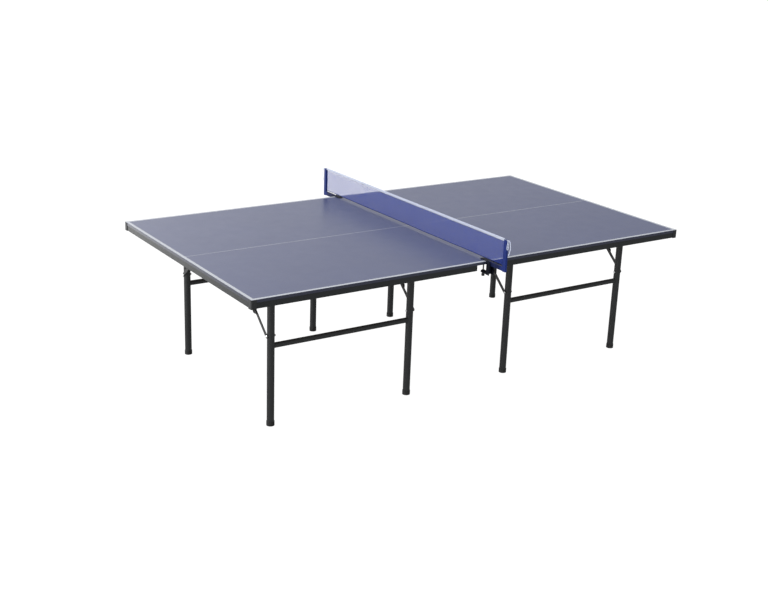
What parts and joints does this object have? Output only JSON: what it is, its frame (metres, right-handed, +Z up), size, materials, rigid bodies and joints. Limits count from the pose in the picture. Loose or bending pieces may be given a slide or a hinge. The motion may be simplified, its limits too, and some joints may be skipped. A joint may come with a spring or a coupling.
{
  "type": "table tennis table",
  "caption": "Folding table tennis table in two halves on H-shaped leg frames with folding stays, and a clamp-on net set with posts.",
  "frame": {"origin": "on the floor under the middle of the table", "axes": "+X along the table's length, +Y across it along the net, +Z up"},
  "size_m": [2.744, 1.8414, 0.912],
  "materials": {
    "tabletop_blue": "semi-gloss slate-blue paint on board",
    "rail_black": "black powder coat",
    "leg_black": "black powder coat",
    "bracket_black": "black powder coat",
    "guard_black": "matt",
    "foot_rubber": "matt",
    "zinc": "bright zinc plate",
    "net_blue": "knotted polyester mesh",
    "tape_white": "woven tape",
    "hem_blue": "woven tape",
    "cord_white": "braided cord",
    "post_blue": "deep blue powder coat",
    "clamp_black": "black powder coat",
    "knob_black": "moulded, matt",
    "pad_black": "matt"
  },
  "bodies": {
    "table": {"left_tabletop": "tabletop_blue", "right_tabletop": "tabletop_blue", "left_side_rails": "rail_black", "right_side_rails": "rail_black", "left_cross_rails": "rail_black", "right_cross_rails": "rail_black", "corner_guards": "guard_black", "joining_plates": "bracket_black", "joining_bolts": "zinc", "hinge_brackets": "bracket_black", "hinge_bolts": "zinc", "stay_brackets": "bracket_black", "stay_pivot_rivets": "zinc", "bracket_screws": "zinc", "net_mesh": "net_blue", "net_top_tape": "tape_white", "net_side_hems": "hem_blue", "near_net_post": "post_blue", "far_net_post": "post_blue", "near_clamp_bracket": "clamp_black", "far_clamp_bracket": "clamp_black", "near_tight_cord_tail": "cord_white", "near_loose_cord_tail": "cord_white", "far_tight_cord_tail": "cord_white", "far_loose_cord_tail": "cord_white"},
    "left_near_leg_frame": {"left_near_legs": "leg_black", "left_near_stretcher": "leg_black", "left_near_feet": "foot_rubber", "left_near_stay_bolts": "zinc"},
    "left_near_upper_stay": {"left_near_upper_stays": "bracket_black", "left_near_stay_rivets": "zinc"},
    "left_near_lower_stay": {"left_near_lower_stays": "bracket_black"},
    "left_far_leg_frame": {"left_far_legs": "leg_black", "left_far_stretcher": "leg_black", "left_far_feet": "foot_rubber", "left_far_stay_bolts": "zinc"},
    "left_far_upper_stay": {"left_far_upper_stays": "bracket_black", "left_far_stay_rivets": "zinc"},
    "left_far_lower_stay": {"left_far_lower_stays": "bracket_black"},
    "right_near_leg_frame": {"right_near_legs": "leg_black", "right_near_stretcher": "leg_black", "right_near_feet": "foot_rubber", "right_near_stay_bolts": "zinc"},
    "right_near_upper_stay": {"right_near_upper_stays": "bracket_black", "right_near_stay_rivets": "zinc"},
    "right_near_lower_stay": {"right_near_lower_stays": "bracket_black"},
    "right_far_leg_frame": {"right_far_legs": "leg_black", "right_far_stretcher": "leg_black", "right_far_feet": "foot_rubber", "right_far_stay_bolts": "zinc"},
    "right_far_upper_stay": {"right_far_upper_stays": "bracket_black", "right_far_stay_rivets": "zinc"},
    "right_far_lower_stay": {"right_far_lower_stays": "bracket_black"},
    "near_clamp_pad": {"near_clamp_pad": "pad_black"},
    "near_clamp_screw": {"near_clamp_screw": "zinc", "near_clamp_knob": "knob_black"},
    "far_clamp_pad": {"far_clamp_pad": "pad_black"},
    "far_clamp_screw": {"far_clamp_screw": "zinc", "far_clamp_knob": "knob_black"}
  },
  "joints": [
    {"name": "left_near_leg_fold", "type": "hinge", "parent": "table", "child": "left_near_leg_frame", "pos_m": [0, -0.541, 0.712], "axis": [1, 0, 0], "range_deg": [0, 90]},
    {"name": "left_near_upper_stay_swing", "type": "hinge", "parent": "table", "child": "left_near_upper_stay", "pos_m": [0, -0.256, 0.726], "axis": [1, 0, 0], "range_deg": [-25.81, 0]},
    {"name": "left_near_lower_stay_swing", "type": "hinge", "parent": "left_near_leg_frame", "child": "left_near_lower_stay", "pos_m": [0, -0.541, 0.476], "axis": [1, 0, 0], "range_deg": [0, 65.19]},
    {"name": "left_far_leg_fold", "type": "hinge", "parent": "table", "child": "left_far_leg_frame", "pos_m": [0, 0.541, 0.712], "axis": [-1, 0, 0], "range_deg": [0, 90]},
    {"name": "left_far_upper_stay_swing", "type": "hinge", "parent": "table", "child": "left_far_upper_stay", "pos_m": [0, 0.256, 0.726], "axis": [-1, 0, 0], "range_deg": [-25.81, 0]},
    {"name": "left_far_lower_stay_swing", "type": "hinge", "parent": "left_far_leg_frame", "child": "left_far_lower_stay", "pos_m": [0, 0.541, 0.476], "axis": [-1, 0, 0], "range_deg": [0, 65.19]},
    {"name": "right_near_leg_fold", "type": "hinge", "parent": "table", "child": "right_near_leg_frame", "pos_m": [0, -0.541, 0.712], "axis": [1, 0, 0], "range_deg": [0, 90]},
    {"name": "right_near_upper_stay_swing", "type": "hinge", "parent": "table", "child": "right_near_upper_stay", "pos_m": [0, -0.256, 0.726], "axis": [1, 0, 0], "range_deg": [-25.81, 0]},
    {"name": "right_near_lower_stay_swing", "type": "hinge", "parent": "right_near_leg_frame", "child": "right_near_lower_stay", "pos_m": [0, -0.541, 0.476], "axis": [1, 0, 0], "range_deg": [0, 65.19]},
    {"name": "right_far_leg_fold", "type": "hinge", "parent": "table", "child": "right_far_leg_frame", "pos_m": [0, 0.541, 0.712], "axis": [-1, 0, 0], "range_deg": [0, 90]},
    {"name": "right_far_upper_stay_swing", "type": "hinge", "parent": "table", "child": "right_far_upper_stay", "pos_m": [0, 0.256, 0.726], "axis": [-1, 0, 0], "range_deg": [-25.81, 0]},
    {"name": "right_far_lower_stay_swing", "type": "hinge", "parent": "right_far_leg_frame", "child": "right_far_lower_stay", "pos_m": [0, 0.541, 0.476], "axis": [-1, 0, 0], "range_deg": [0, 65.19]},
    {"name": "near_clamp_pad_slide", "type": "slide", "parent": "table", "child": "near_clamp_pad", "axis": [0, 0, -1], "range_m": [0, 0.0127]},
    {"name": "near_clamp_screw_turn", "type": "hinge", "parent": "near_clamp_pad", "child": "near_clamp_screw", "pos_m": [0, -0.722, 0.7], "axis": [0, 0, 1], "range_deg": [0, 3600]},
    {"name": "far_clamp_pad_slide", "type": "slide", "parent": "table", "child": "far_clamp_pad", "axis": [0, 0, -1], "range_m": [0, 0.0127]},
    {"name": "far_clamp_screw_turn", "type": "hinge", "parent": "far_clamp_pad", "child": "far_clamp_screw", "pos_m": [0, 0.722, 0.7], "axis": [0, 0, 1], "range_deg": [0, 3600]}
  ],
  "couplings": [
    {"joint": "left_near_upper_stay_swing", "follows": "left_near_leg_fold", "ratio": -0.28124},
    {"joint": "left_near_lower_stay_swing", "follows": "left_near_leg_fold", "ratio": 0.71876},
    {"joint": "left_far_upper_stay_swing", "follows": "left_far_leg_fold", "ratio": -0.28124},
    {"joint": "left_far_lower_stay_swing", "follows": "left_far_leg_fold", "ratio": 0.71876},
    {"joint": "right_near_upper_stay_swing", "follows": "right_near_leg_fold", "ratio": -0.28124},
    {"joint": "right_near_lower_stay_swing", "follows": "right_near_leg_fold", "ratio": 0.71876},
    {"joint": "right_far_upper_stay_swing", "follows": "right_far_leg_fold", "ratio": -0.28124},
    {"joint": "right_far_lower_stay_swing", "follows": "right_far_leg_fold", "ratio": 0.71876},
    {"joint": "near_clamp_pad_slide", "follows": "near_clamp_screw_turn", "m_per_rad": 0.00019894},
    {"joint": "far_clamp_pad_slide", "follows": "far_clamp_screw_turn", "m_per_rad": 0.00019894}
  ]
}
